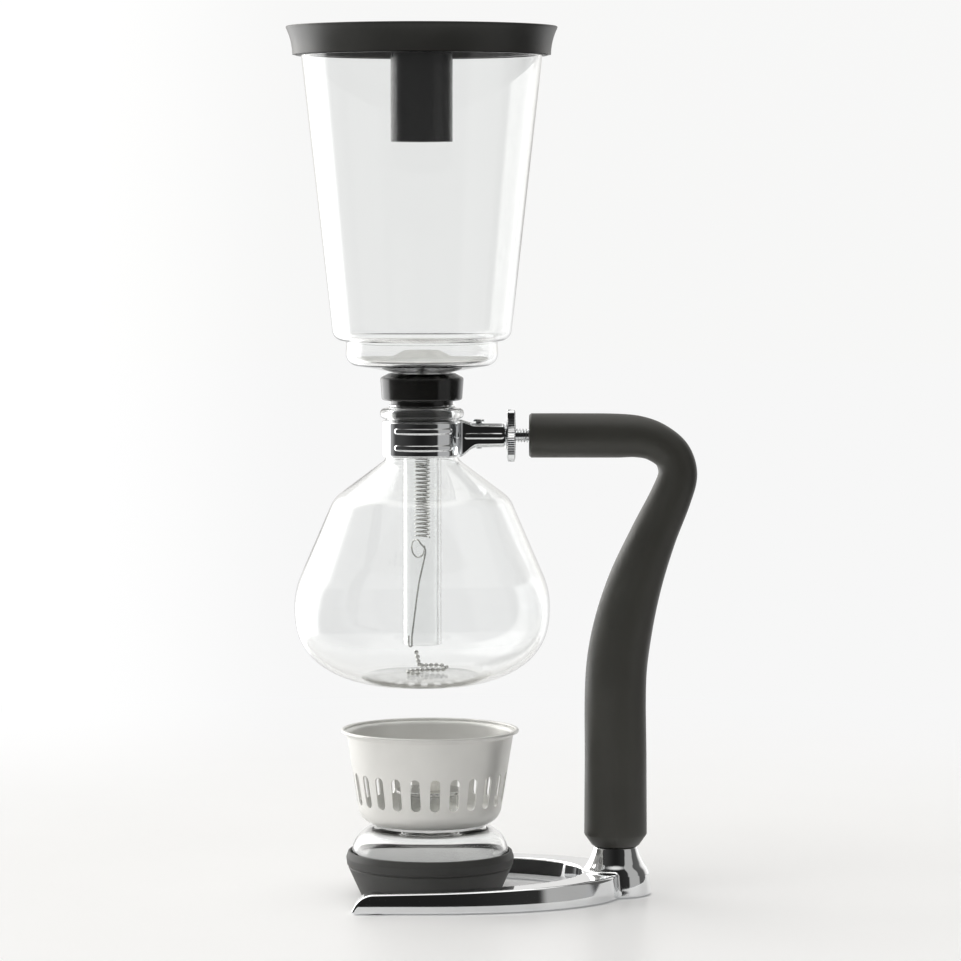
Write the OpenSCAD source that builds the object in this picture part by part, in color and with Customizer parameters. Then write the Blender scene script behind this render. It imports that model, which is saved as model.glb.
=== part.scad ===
// Siphon coffee maker: upper bowl, flask, stand with clamp and grip, spirit burner.
// Millimetres, +Z up. The glassware stands on one vertical axis, the bowl axis, and
// the stand's pole is on its +X side. The whole object is symmetric about Y = 0,
// apart from the filter's hook and chain. All heights are measured from the table.

/* [Lid] */
// Radius of the lid's upper edge, the widest part of the object
lid_r = 60.9; // [59:0.1:63]
// Height of the lid's upper edge above the table
lid_top = 391.5; // [390:0.1:394]
// Length of the socket that holds the bowl's tube when the lid is used as a stand
socket_length = 48; // [30:1:50]

/* [Upper bowl] */
// Outer radius of the bowl at its rim
bowl_rim_r = 55; // [54:0.1:55.4]
// Outer radius of the bowl just above its shoulder
bowl_low_r = 40; // [39:0.1:42]
// Outer radius of the ring that the filter lies in
bowl_ring_r = 34.7; // [33:0.1:36]
// Outer radius of the tube
tube_r = 8.75; // [8.7:0.01:8.78]
// Height of the tube's lower end
tube_end = 114; // [112:0.5:118]
// Thickness of the bowl's and the tube's glass
bowl_wall = 1.5; // [1.3:0.1:1.6]

/* [Flask] */
// Outer radius of the flask at its widest
flask_r = 57.7; // [55:0.1:58.5]
// Height of the widest part
flask_waist = 131; // [129:0.5:133]
// Height of the ring that the flask would stand on
flask_low = 96.5; // [96.3:0.1:96.8]
// Outer radius of the neck
neck_r = 16.2; // [16.1:0.05:16.25]
// Thickness of the flask's glass
flask_wall = 1.8; // [1.6:0.1:2]

/* [Stand] */
// Distance from the bowl axis to the pole
pole_x = 87.5; // [85:0.5:90]
// Half of the base's width
base_half_w = 58.5; // [56:0.5:60]
// Half of the width of the base's bay
bay_half_w = 46.5; // [45:0.5:47.5]
// Height of the base at its open ends
base_low_h = 9; // [8:0.5:10]
// Height of the base beside the pole
base_high_h = 11.2; // [10.5:0.1:12]
// Height of the clamp screw's axis
arm_z = 208.2; // [208:0.1:208.5]
// Outer diameter of the clamp screw's thread
thread_d = 6.35; // [6:0.05:6.5]
// Pitch of the clamp screw's thread
thread_pitch = 1.27; // [1:0.01:1.5]
// Radius of the thumb nut
nut_r = 11.8; // [10:0.1:12.5]

/* [Burner] */
// Distance from the bowl axis to the burner's axis
burner_offset = 3.5; // [0:0.5:4]
// Radius of the burner's rubber base at its widest
burner_r = 38; // [37.7:0.1:38.5]
// Radius of the wind guard's rim
guard_r = 40.2; // [39.8:0.1:40.6]
// Height of the wind guard's rim
guard_top = 75.5; // [74:0.5:77]
// Number of slots round the wind guard
guard_slots = 24; // [20:1:26]

/* [Hidden] */
$fn = 96;
eps = 0.01;          // overlap that keeps joined solids one piece
corner_steps = 6;    // pieces of a rounded corner
gap = 0.3;           // clearance between parts that come apart

// Stand
foot_z = 0.6;                       // underside of the casting, held up by its pads
base_end_x = -30;                   // open ends of the base
base_reach = 91;                    // from the bowl axis to the base's far edge
bay_reach = 72;                     // from the bowl axis to the end of the bay
base_power = 2.2;                   // squareness of the base's two outlines
boss_top = 22.1;                    // top of the boss under the grip
core_r = 4;                         // pole core, a steel tube
core_bore_r = 2.5;
core_low = 6.5;                     // lower end of the pole core
grip_bore_r = 4.2;
grip_start = 48.2;                  // end of the grip towards the clamp
grip_sides = 24;
core_sides = 12;
pad_spots = [[-20, 52.4], [-20, -52.4], [77, 20], [77, -20]];
pad_r = 4;

// Clamp
band_low = 198.8;
band_high = 215.1;
band_r = 18;
band_sheet = 1;
ear_gap = 3.35;                     // half of the space between the ears
ear_end = 37.4;
pin_x = 25.7;
pin_r = 1.5;
washer_x = ear_end + 0.2;
washer_t = 0.5;
nut_x = washer_x + washer_t + 0.1;
nut_t = 3.9;
knurls = 80;

// Filter
disc_z = 241.4;
disc_r = 29.5;
disc_t = 0.8;
spring_r = 3.3;                     // centre line of the spring's wire
spring_wire_r = 0.4;
spring_low = 161.9;
spring_turns = 42;
spring_pitch = 1.8;
hook_wire_r = 0.4;
hook_angle = 230;                   // direction from the tube's axis to the hook
bead_r = 1.1;
bead_step = 2.5;

// Burner
burner_floor = 15.5;                // the glass stands in a shallow recess of the base
guard_low = 32.6;
guard_sheet = 0.8;
holder_z = 46.3;

// Spine of the grip, from the clamp down to the boss: x from the bowl axis, z, radius
grip_spine = [
    [grip_start, arm_z, 9.2], [grip_start + 1, arm_z, 10], [70, arm_z, 10], [88, 208.1, 9.9],
    [97, 207.7, 9.4], [105, 205.4, 8.8], [112.6, 199.6, 8.5], [115.2, 191, 8.8], [112.4, 181.2, 9.3],
    [104, 162.3, 10.5], [95.6, 140.2, 12.3], [90, 118, 13.5], [pole_x, 98, 13.8],
    [pole_x, 60, 14], [pole_x, 27.8, 14.2], [pole_x, 22.4, 10.4]
];
grip_steps = 3;                     // rings from one point of the spine to the next

// Route of the bead chain, from the hook down to the flask's floor
chain_route = [
    [-3, -4.6, 111.2], [-2.2, -3.6, 108.6], [-1.8, -2.4, 105.6], [-1.2, -0.4, 103.4], [1, 2.6, 102.7],
    [5, 4.2, 102.6], [9, 4.6, 102.3], [11.2, 3.4, 101.2], [8.6, 2.4, 100.4], [4, 1.8, 100.4],
    [0, 0.6, 100.5], [-3.8, -1.4, 100.5], [-6.6, -4.6, 100.3], [-4.8, -7.4, 100.2], [-1.8, -8.2, 100.2]
];

// ---- Outlines ----

function flat(p) = [p[0], p[1]];
function toward(a, b) = (b - a) / norm(b - a);
function turned(v, a) = [v[0] * cos(a) - v[1] * sin(a), v[0] * sin(a) + v[1] * cos(a)];

// Arc that rounds the corner p, whose third number is the radius, between a and b
function round_corner(a, p, b) =
    let (
        u = toward(flat(p), flat(a)),
        v = toward(flat(p), flat(b)),
        half = acos(u * v) / 2,
        centre = flat(p) + toward([0, 0], u + v) * p[2] / sin(half),
        first = flat(p) + u * p[2] / tan(half) - centre,
        last = flat(p) + v * p[2] / tan(half) - centre,
        turn = atan2(first[0] * last[1] - first[1] * last[0], first * last)
    )
    [for (i = [0:corner_steps]) centre + turned(first, turn * i / corner_steps)];

// Outline or path with each corner rounded by the radius in its third number
function rounded(points) =
    let (n = len(points))
    [for (i = [0:n - 1])
        each (is_undef(points[i][2]) ? [points[i]]
            : round_corner(points[(i + n - 1) % n], points[i], points[(i + 1) % n]))];

// Lathe path moved to the left of its own direction by t, and never past the axis
function beside(path, t) =
    [for (i = [0:len(path) - 1])
        let (
            way = toward(path[max(i - 1, 0)], path[min(i + 1, len(path) - 1)]),
            q = path[i] + t * turned(way, 90)
        )
        [max(q[0], 0), q[1]]];

function reversed(path) = [for (i = [len(path) - 1:-1:0]) path[i]];

// Outline of a wall of thickness t on the left of a path
function wall_outline(path, t) = concat(path, reversed(beside(path, t)));

// Quarter of a squarish oval, from [a, 0] to [0, b]
function oval(a, b, power, steps) =
    [for (i = [0:steps]) let (t = 90 * i / steps)
        [a * pow(cos(t), 2 / power), b * pow(sin(t), 2 / power)]];

function mirrored_y(path) = [for (p = reversed(path)) [p[0], -p[1]]];

// ---- Smooth curves through points of any dimension ----

// Slope of the curve at point i, from its neighbours
function slope(p, i) =
    let (a = max(i - 1, 0), b = min(i + 1, len(p) - 1), way = norm(p[b] - p[i]) + norm(p[i] - p[a]))
    (p[b] - p[a]) / way;

function between(p, i, t) =
    let (span = norm(p[i + 1] - p[i]))
    p[i] * (2 * t ^ 3 - 3 * t ^ 2 + 1) + p[i + 1] * (3 * t ^ 2 - 2 * t ^ 3)
    + slope(p, i) * span * (t ^ 3 - 2 * t ^ 2 + t) + slope(p, i + 1) * span * (t ^ 3 - t ^ 2);

function smooth(p, steps) =
    [for (i = [0:len(p) - 2]) for (k = [0:steps - 1]) between(p, i, k / steps), p[len(p) - 1]];

// ---- Tubes along a path of [x, z, radius] in the plane Y = 0 ----

function tube_ring(path, i, r, sides) =
    let (
        a = path[max(i - 1, 0)],
        b = path[min(i + 1, len(path) - 1)],
        way = toward(flat(a), flat(b))
    )
    [for (k = [0:sides - 1]) let (t = 360 * k / sides)
        [path[i][0] - way[1] * r * cos(t), -r * sin(t), path[i][1] + way[0] * r * cos(t)]];

// Two triangles of the quad at side k between ring a and ring b
function skin(a, b, k, sides) =
    let (n = (k + 1) % sides)
    [[a * sides + k, b * sides + k, b * sides + n], [a * sides + k, b * sides + n, a * sides + n]];

// Tube with the path's own radii outside and a bore of constant radius
module bent_tube(path, bore_r, sides) {
    n = len(path);
    outside = [for (i = [0:n - 1]) each tube_ring(path, i, path[i][2], sides)];
    inside = [for (i = [0:n - 1]) each tube_ring(path, i, bore_r, sides)];
    faces = [
        for (k = [0:sides - 1]) each concat(
            [for (i = [0:n - 2]) each skin(i, i + 1, k, sides)],
            [for (i = [0:n - 2]) each skin(n + i + 1, n + i, k, sides)],
            skin(n, 0, k, sides),
            skin(n - 1, 2 * n - 1, k, sides)
        )
    ];
    polyhedron(points = concat(outside, inside), faces = faces, convexity = 8);
}

grip_path = smooth(grip_spine, grip_steps);
core_path = [
    [grip_start + 1.8, arm_z, core_r],
    for (p = grip_path) if (p[0] > grip_start + 3 && p[1] > 24) [p[0], p[1], core_r],
    [pole_x, core_low, core_r]
];
// Farthest point of the grip from the bowl axis
grip_far = max([for (i = [1:len(grip_path) - 2]) max([for (q = tube_ring(grip_path, i,
    grip_path[i][2], grip_sides)) q[0]])]);
// The origin is under the middle of the whole object
bowl_x = (lid_r - grip_far) / 2;

module at_bowl() {
    translate([bowl_x, 0, 0]) children();
}

module at_burner() {
    translate([bowl_x + burner_offset, 0, 0]) children();
}

module lathe(outline) {
    rotate_extrude() polygon(outline);
}

// Round bar along X
module bar_x(r, x, length) {
    translate([x, 0, arm_z]) rotate([0, 90, 0]) cylinder(r = r, h = length);
}

// Direction of a path of points at point i
function way_at(path, i) =
    let (d = path[min(i + 1, len(path) - 1)] - path[max(i - 1, 0)]) d / norm(d);

function upright(v, way) = let (q = v - way * (v * way)) q / norm(q);

// Solid round wire along any path, where radii holds the radius at each point
module wire_along(path, radii, sides) {
    n = len(path);
    normals = [for (i = 0, v = upright([1, 0.3, 0.2], way_at(path, 0)); i < n;
        i = i + 1, v = upright(v, way_at(path, min(i, n - 1)))) v];
    points = [
        for (i = [0:n - 1]) let (v = normals[i], w = cross(way_at(path, i), v))
            for (k = [0:sides - 1]) let (t = 360 * k / sides)
                path[i] + radii[i] * (v * cos(t) + w * sin(t))
    ];
    faces = concat(
        [[for (k = [0:sides - 1]) k]],
        [for (i = [0:n - 2]) for (k = [0:sides - 1]) each skin(i, i + 1, k, sides)],
        [[for (k = [sides - 1:-1:0]) (n - 1) * sides + k]]
    );
    polyhedron(points = points, faces = faces, convexity = 10);
}

// ---- Stand ----

function base_outline(reach, half_w, end_x) =
    let (side = oval(reach, half_w, base_power, 14))
    concat(mirrored_y(concat(side, [[end_x, half_w]])), concat(side, [[end_x, half_w]]));

// Side view of the base: quarter-round open ends and a top that rises to the pole
module base_side() {
    polygon(rounded([
        [base_end_x - 1, foot_z], [base_end_x + 3.5, base_low_h, 5],
        [pole_x - 10, base_high_h], [pole_x + 30, base_high_h], [pole_x + 30, foot_z]
    ]));
}

module boss_body() {
    lathe(rounded([
        [0, foot_z], [16.4, foot_z], [15.5, 10.4, 3], [12.3, 15.2, 12], [10, boss_top - 1],
        [9.6, boss_top], [0, boss_top]
    ]));
}

module base() {
    color("silver") at_bowl() difference() {
        union() {
            intersection() {
                linear_extrude(base_high_h + 1) difference() {
                    polygon(base_outline(base_reach, base_half_w, base_end_x));
                    polygon(base_outline(bay_reach, bay_half_w, base_end_x - 1));
                }
                translate([0, base_half_w + 1, 0]) rotate([90, 0, 0])
                    linear_extrude(2 * base_half_w + 2) base_side();
            }
            translate([pole_x, 0, 0]) boss_body();
        }
        translate([pole_x, 0, core_low - 0.1]) cylinder(r = core_r + 0.1, h = boss_top);
        translate([pole_x, 0, -1]) cylinder(r = 2.7, h = boss_top);
        translate([pole_x, 0, -1]) cylinder(r = 7.2, h = 6);
        for (p = pad_spots) translate([p[0], p[1], -1]) cylinder(r = pad_r + 0.1, h = foot_z + 1.5);
    }
}

module base_pads() {
    color("dimgray") at_bowl()
        for (p = pad_spots) translate([p[0], p[1], 0]) cylinder(r = pad_r, h = foot_z + 0.5);
}

module pole_washer() {
    color("silver") at_bowl() translate([pole_x, 0, 3.95]) difference() {
        cylinder(r = 6.5, h = 1);
        translate([0, 0, -1]) cylinder(r = 2.65, h = 3);
    }
}

module pole_bolt() {
    color("gray") at_bowl() translate([pole_x, 0, 1.3]) difference() {
        union() {
            cylinder(r = 4.3, h = 2.6);
            cylinder(r = core_bore_r - 0.15, h = 16);
        }
        translate([0, 0, -1]) cylinder(r = 2.2, h = 2.6, $fn = 6);
    }
}

module pole_core() {
    color("gray") at_bowl() bent_tube(core_path, core_bore_r, core_sides);
}

module grip() {
    color("#4a4a46") at_bowl() bent_tube(grip_path, grip_bore_r, grip_sides);
}

// ---- Clamp ----

// Half of the screw's outline with a groove for each turn of the thread
function thread_outline(x0, x1) =
    let (turns = floor((x1 - x0) / thread_pitch), r = thread_d / 2, deep = 0.55 * thread_pitch)
    concat(
        [[0, x0]],
        [for (i = [0:turns - 1]) let (x = x0 + i * thread_pitch)
            each [[r - deep, x], [r, x + thread_pitch * 0.4], [r, x + thread_pitch * 0.6]]],
        [[r - deep, x0 + turns * thread_pitch], [r - deep, x1], [0, x1]]
    );

module clamp_screw() {
    thread_from = 31;
    shoulder = grip_start + 0.4;
    color("silver") at_bowl() difference() {
        union() {
            bar_x(3, pin_x - 4, thread_from - pin_x + 4 + eps);
            translate([0, 0, arm_z]) rotate([0, 90, 0])
                lathe(thread_outline(thread_from, shoulder + eps));
            bar_x(grip_bore_r - 0.1, shoulder, 1.3);
            bar_x(core_bore_r - 0.1, shoulder + 1, 12);
        }
        translate([pin_x, 0, arm_z - 5]) cylinder(r = pin_r + 0.05, h = 10);
    }
}

module band_plan() {
    difference() {
        union() {
            circle(r = band_r);
            translate([0, -ear_gap - band_sheet]) square([ear_end, 2 * (ear_gap + band_sheet)]);
        }
        circle(r = band_r - band_sheet);
        translate([0, -ear_gap]) square([ear_end + 1, 2 * ear_gap]);
    }
}

// Side view of the band and of the ears that narrow towards the nut
module band_side() {
    polygon(rounded([
        [-band_r - 1, band_low], [band_r, band_low], [23, 202.9, 8], [ear_end, 203.1],
        [ear_end, 213.5], [23, 213.6, 8], [band_r, band_high], [-band_r - 1, band_high]
    ]));
}

// Stiffening rib pressed out of the sheet, seen from the side
module rib_side(x0, x1, z, height) {
    hull_r = height / 2;
    translate([x0 + hull_r, z - hull_r]) square([x1 - x0 - height, height]);
    for (x = [x0 + hull_r, x1 - hull_r]) translate([x, z]) circle(r = hull_r, $fn = 32);
}

module from_side(half_w) {
    translate([0, half_w, 0]) rotate([90, 0, 0]) linear_extrude(2 * half_w) children();
}

module clamp_band() {
    rib_h = 2.6;
    color("silver") at_bowl() {
        intersection() {
            translate([0, 0, band_low - 1]) linear_extrude(band_high - band_low + 2) band_plan();
            from_side(band_r + 1) band_side();
        }
        for (z = [203.3, 210.8]) intersection() {
            translate([0, 0, z - 2]) difference() {
                cylinder(r = band_r + 0.5, h = 4);
                translate([0, 0, -1]) cylinder(r = band_r - eps, h = 6);
            }
            from_side(band_r + 1) rib_side(-11.7, 13.3, z, rib_h);
        }
        for (y = [-1, 1]) translate([0, y * (ear_gap + band_sheet + 0.2), 0])
            from_side(0.2 + eps) rib_side(19, ear_end - 0.2, arm_z, 2.6);
    }
}

module clamp_liner() {
    color("whitesmoke") at_bowl() translate([0, 0, 200.2]) difference() {
        cylinder(r = band_r - band_sheet - 0.05, h = 14.4);
        translate([0, 0, -1]) cylinder(r = neck_r + 0.05, h = 17);
        translate([0, -ear_gap, -1]) cube([band_r, 2 * ear_gap, 17]);
    }
}

module clamp_pin() {
    color("silver") at_bowl() translate([pin_x, 0, 202.3]) {
        cylinder(r = pin_r, h = 12.4);
        translate([0, 0, 12.3]) cylinder(r = 2.7, h = 1);
    }
}

module clamp_washer() {
    color("silver") at_bowl() difference() {
        bar_x(6.5, washer_x, washer_t);
        bar_x(thread_d / 2 + 0.1, washer_x - 1, washer_t + 2);
    }
}

module thumb_nut() {
    color("silver") at_bowl() difference() {
        translate([nut_x, 0, arm_z]) rotate([0, 90, 0]) linear_extrude(nut_t)
            polygon([for (i = [0:2 * knurls - 1]) let (a = 180 * i / knurls)
                (nut_r - (i % 2) * 0.4) * [cos(a), sin(a)]]);
        bar_x(thread_d / 2 + 0.1, nut_x - 1, nut_t + 2);
    }
}

// ---- Glassware ----

module flask() {
    belly_r = 36;                   // curve of the belly above the waist
    lean = 23.5;                    // lean of the side from the vertical
    drop = 36.6;                    // half height of the oval below the waist
    ring = 26;                      // radius of the ring that the flask would stand on
    path = concat(
        rounded([[neck_r, 219], [neck_r, 197.6, 3], [39.7, 180, 12],
            [flask_r - belly_r + belly_r * cos(lean), flask_waist + belly_r * sin(lean)]]),
        [for (i = [3:-1:1]) [flask_r - belly_r + belly_r * cos(lean * i / 4),
            flask_waist + belly_r * sin(lean * i / 4)]],
        [for (p = oval(flask_r, drop, 2.5, 16)) if (p[0] > ring + 4) [p[0], flask_waist - p[1]]],
        round_corner([ring + 3.6, 97.4], [ring, flask_low, 6], [0, flask_low + 0.8]),
        [[0, flask_low + 0.8]]
    );
    color("lightblue", 0.4) at_bowl() {
        lathe(wall_outline(path, -flask_wall));
        lathe(rounded([
            [neck_r - flask_wall, 214], [neck_r, 214], [neck_r + 0.3, 216, 0.5], [18.85, 216, 1.6],
            [18.85, 220.5, 2.2], [neck_r - flask_wall, 220.5, 1.5]
        ]));
    }
}

module upper_bowl() {
    rim_z = lid_top - 4.4;
    path = rounded([
        [bowl_rim_r, rim_z], [bowl_low_r, 251.6, 5], [bowl_ring_r - 0.8, 250.6, 1.5],
        [bowl_ring_r, 240.6, 5.5], [tube_r, 236, 3], [tube_r, tube_end]
    ]);
    color("lightblue", 0.4) at_bowl() lathe(wall_outline(path, -bowl_wall));
}

module stopper() {
    bore = tube_r + 0.05;
    color("#181818") at_bowl() lathe(rounded([
        [bore, 205], [12.8, 205, 0.8], [13.95, 222.5], [13.95, 224.2], [18.1, 224.2, 1],
        [18.8, 234.2], [14.5, 236.5], [11.9, 235.9], [9.8, 234.9], [bore, 232.9]
    ]));
}

module lid() {
    plate = lid_top - 2.2;          // upper face of the top plate
    under = plate - 1.9;            // lower face of the top plate
    skirt_low = lid_top - 13;
    skirt_r = lid_r - 3;
    flare_r = 27.5;                 // hollow curve of the skirt
    bore_r = 10.4;
    socket_low = under - socket_length + 0.6;
    skirt = [for (i = [0:6]) let (a = 4.5 * i)
        [skirt_r + flare_r * (1 - cos(a)), skirt_low + flare_r * sin(a)]];
    color("#454542") at_bowl() lathe(concat(
        skirt,
        [[lid_r, lid_top], [lid_r - 2, lid_top], [lid_r - 2.6, plate], [0, plate],
        [0, under], [bore_r, under], [bore_r, socket_low], [13.9, socket_low], [13.9, under],
        [49.4, under], [49.4, under - 8.6], [51.2, under - 8.6], [51.2, under],
        [skirt_r - 1.7, under], [skirt_r - 1.7, skirt_low]]
    ));
}

// ---- Filter ----

module filter_disc() {
    color("silver") at_bowl() translate([0, 0, disc_z]) difference() {
        cylinder(r = disc_r, h = disc_t);
        translate([0, 0, -1]) cylinder(r = 1.3, h = 3);
        for (ring = [1:3]) for (i = [0:6 * ring + 1])
            rotate([0, 0, 360 * i / (6 * ring + 2)]) translate([7.4 * ring, 0, -1])
                cylinder(r = 1.2, h = 3, $fn = 24);
    }
}

module filter_hub() {
    color("silver") at_bowl() {
        translate([0, 0, disc_z + disc_t]) cylinder(r = 5, h = 2.6);
        translate([0, 0, 236.2]) cylinder(r = 1.2, h = disc_z + disc_t - 236.2 + eps);
        translate([0, 0, 238.4]) cylinder(r = 2.6, h = 1);
    }
}

module filter_cloth() {
    path = rounded([[30, disc_z + 1.3], [14, disc_z + 1.9, 5], [7.5, 246.6, 3], [0, 246.6]]);
    color("ivory") at_bowl() lathe(wall_outline(path, 0.4));
}

module filter_spring() {
    steps = 10;
    path = [for (i = [0:spring_turns * steps]) let (a = 360 * i / steps)
        [spring_r * cos(a), spring_r * sin(a), spring_low + spring_pitch * i / steps]];
    color("silver") at_bowl() wire_along(path, [for (p = path) spring_wire_r], 5);
}

// Bent wire: a ring under the spring, a leg down the tube, and a hook round the tube's rim
module filter_hook() {
    leg_r = 6.7;                    // distance of the leg from the tube's axis
    bend_r = 1.3;
    ring_r = 4;
    ring_at = [-2.2, 0, 157];
    ring_turn = -48;                // direction of the ring's plane
    out = [cos(hook_angle), sin(hook_angle), 0];
    turn_z = tube_end + 0.3;
    path = concat(
        [for (a = [20:-20:-320]) let (
            flat_way = turned([ring_r * cos(a), 0.9 * (a + 150) / 170], ring_turn)
        ) ring_at + [flat_way[0], flat_way[1], ring_r * sin(a)]],
        smooth([[1.3, -3.8, 157], [1.2, -3.9, 154], [-1.3, -4.1, 142], [-2.9, -4.5, 130],
            out * leg_r + [0, 0, turn_z + 3]], 4),
        [for (a = [180:30:360]) out * (leg_r + bend_r + bend_r * cos(a)) + [0, 0, turn_z + bend_r * sin(a)]],
        [out * (leg_r + 2 * bend_r) + [0, 0, turn_z + 4]]
    );
    color("silver") at_bowl() wire_along(path, [for (p = path) hook_wire_r], 8);
}

// Beads on a wire: the wire's radius swells at every bead
module bead_chain() {
    fine = smooth(chain_route, 16);
    travel = [for (i = 0, s = 0; i < len(fine);
        s = s + (i + 1 < len(fine) ? norm(fine[i + 1] - fine[i]) : 0), i = i + 1) s];
    count = floor(travel[len(travel) - 1] / bead_step);
    // Places along one bead, from its start to its end, and the radius there
    bead = [for (a = [0:36:180]) [-bead_r * cos(a), max(bead_r * sin(a), 0.35)]];
    stations = [for (k = [0:count - 1]) for (b = bead) [(k + 0.5) * bead_step + b[0], b[1]]];
    path = [for (st = stations) let (i = min([for (j = [1:len(fine) - 1]) if (travel[j] >= st[0]) j]))
        fine[i - 1] + (fine[i] - fine[i - 1]) * (st[0] - travel[i - 1]) / (travel[i] - travel[i - 1])];
    color("silver") at_bowl() wire_along(path, [for (st = stations) st[1]], 8);
}

// ---- Burner ----

module burner_base() {
    color("#3c3c3a") at_burner() lathe(rounded([
        [0, 0], [31.2, 0, 0.8], [37, 12.8], [36.8, 13.3], [37.6, 14, 0.5], [burner_r, 17.2, 1],
        [36.9, 20.4, 0.6], [35.9, 20], [35.9, burner_floor], [0, burner_floor]
    ]));
}

module burner_glass() {
    top = holder_z - gap;
    low = burner_floor + gap;
    color("lightblue", 0.4) at_burner() lathe(rounded([
        [12.2, top], [14.2, top], [14.2, 32.6, 1], [35.5, 30.2, 13], [35.5, low, 2.5], [0, low],
        [0, 18.5], [33.5, 18.5, 0.8], [33.5, 28.35, 10], [12.2, 30.75, 3]
    ]));
}

module wick_holder() {
    color("silver") at_burner() lathe([
        [5.1, 38], [11.8, 38], [11.8, holder_z], [15.4, holder_z], [15.4, 47.8], [5.1, 47.8]
    ]);
}

module wick() {
    color("ivory") at_burner() translate([0, 0, 33]) cylinder(r = 4.9, h = 24.5);
}

module wind_guard() {
    slot_low = 41.8;
    slot_high = 56.6;
    slot_w = 4.5;
    path = rounded([
        [39.6, guard_top - 1.2], [37.7, 73, 1.5], [31.2, guard_low, 8], [16.4, guard_low]
    ]);
    color("#bdbdb8") at_burner() difference() {
        union() {
            lathe(wall_outline(path, -guard_sheet));
            rotate_extrude() translate([guard_r - 0.8, guard_top - 0.8]) circle(r = 0.8, $fn = 24);
        }
        for (i = [0:guard_slots - 1]) rotate([0, 0, 360 * (i + 0.5) / guard_slots - 3])
            translate([50, 0, 0]) rotate([90, 0, -90]) linear_extrude(25) union() {
                translate([-slot_w / 2, slot_low + slot_w / 2])
                    square([slot_w, slot_high - slot_low - slot_w]);
                for (z = [slot_low, slot_high - slot_w]) translate([0, z + slot_w / 2])
                    circle(r = slot_w / 2, $fn = 24);
            }
    }
}

base();
base_pads();
pole_bolt();
pole_washer();
pole_core();
grip();
clamp_screw();
clamp_band();
clamp_liner();
clamp_pin();
clamp_washer();
thumb_nut();
flask();
upper_bowl();
stopper();
filter_disc();
filter_hub();
filter_cloth();
filter_spring();
filter_hook();
bead_chain();
lid();
burner_base();
burner_glass();
wick_holder();
wick();
wind_guard();
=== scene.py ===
"""Looks of the siphon coffee maker: meshes, materials, studio and camera.

Lengths are in millimetres, and x is measured from the glassware's axis, or from the burner's for
the burner's own pieces.
"""
import math

import bmesh
import bpy
import numpy as np
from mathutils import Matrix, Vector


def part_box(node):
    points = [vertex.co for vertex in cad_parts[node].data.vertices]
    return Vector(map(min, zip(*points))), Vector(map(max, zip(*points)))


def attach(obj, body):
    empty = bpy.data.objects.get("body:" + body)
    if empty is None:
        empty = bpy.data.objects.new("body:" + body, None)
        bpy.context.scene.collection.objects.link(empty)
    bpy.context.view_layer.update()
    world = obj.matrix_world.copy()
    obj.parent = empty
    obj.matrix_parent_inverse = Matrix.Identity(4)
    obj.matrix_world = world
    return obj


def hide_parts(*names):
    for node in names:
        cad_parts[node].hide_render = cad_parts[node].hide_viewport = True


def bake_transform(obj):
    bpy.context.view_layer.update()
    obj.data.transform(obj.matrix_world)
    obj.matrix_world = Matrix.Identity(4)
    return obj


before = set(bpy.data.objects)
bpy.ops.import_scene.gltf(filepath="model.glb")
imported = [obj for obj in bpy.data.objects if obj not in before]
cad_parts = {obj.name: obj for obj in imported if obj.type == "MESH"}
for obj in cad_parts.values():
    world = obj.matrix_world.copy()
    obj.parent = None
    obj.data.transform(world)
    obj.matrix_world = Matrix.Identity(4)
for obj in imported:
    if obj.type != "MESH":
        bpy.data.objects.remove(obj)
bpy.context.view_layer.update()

MM = 0.001
TAU = 2 * math.pi


def middle_x(node):
    a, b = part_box(node)
    return (a[0] + b[0]) / 2 / MM


BOWL = middle_x("upper_bowl")      # the glassware's axis in the frame's own x
BURNER = middle_x("wind_guard")    # the burner's axis in the frame's own x
POLE = 87.5                        # x of the pole
ARM_Z = 208.2                      # height of the clamp screw and of the grip's arm
TUBE_TOP = 235.2                   # below this the upper bowl's glass is its narrow tube


# ---- Outlines and curves, in mm ----

def unit(v):
    return v / np.linalg.norm(v)


def around(sides):
    """Evenly spaced angles of one whole turn."""
    return np.arange(sides) * TAU / sides


def rounded(points, fine=7.0):
    """Closed outline whose corners are rounded by their third number."""
    out = []
    for i, p in enumerate(points):
        q = np.array(p[:2], float)
        if len(p) < 3:
            out.append(q)
            continue
        u = unit(np.array(points[i - 1][:2], float) - q)
        v = unit(np.array(points[(i + 1) % len(points)][:2], float) - q)
        half = math.acos(max(-1, min(1, u @ v))) / 2
        centre = q + unit(u + v) * p[2] / math.sin(half)
        s = q + u * p[2] / math.tan(half) - centre
        e = q + v * p[2] / math.tan(half) - centre
        turn = math.atan2(s[0] * e[1] - s[1] * e[0], s @ e)
        steps = max(4, math.ceil(abs(math.degrees(turn)) / (fine if p[2] < 7 else fine / 2)))
        for k in range(steps + 1):
            c, d = math.cos(turn * k / steps), math.sin(turn * k / steps)
            out.append(centre + np.array([s[0] * c - s[1] * d, s[0] * d + s[1] * c]))
    return out


def beside(path, t):
    """The path moved to the left of its own direction by t, never past the axis."""
    path = np.array(path, float)
    way = np.empty_like(path)
    way[1:-1] = path[2:] - path[:-2]
    way[0], way[-1] = path[1] - path[0], path[-1] - path[-2]
    way /= np.linalg.norm(way, axis=1)[:, None]
    out = path + t * np.stack([-way[:, 1], way[:, 0]], 1)
    out[:, 0] = np.maximum(out[:, 0], 0)
    return out


def wall(path, t):
    """Closed outline of a wall of thickness t on the left of a path."""
    return np.concatenate([np.array(path, float), beside(path, t)[::-1]])


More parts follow.
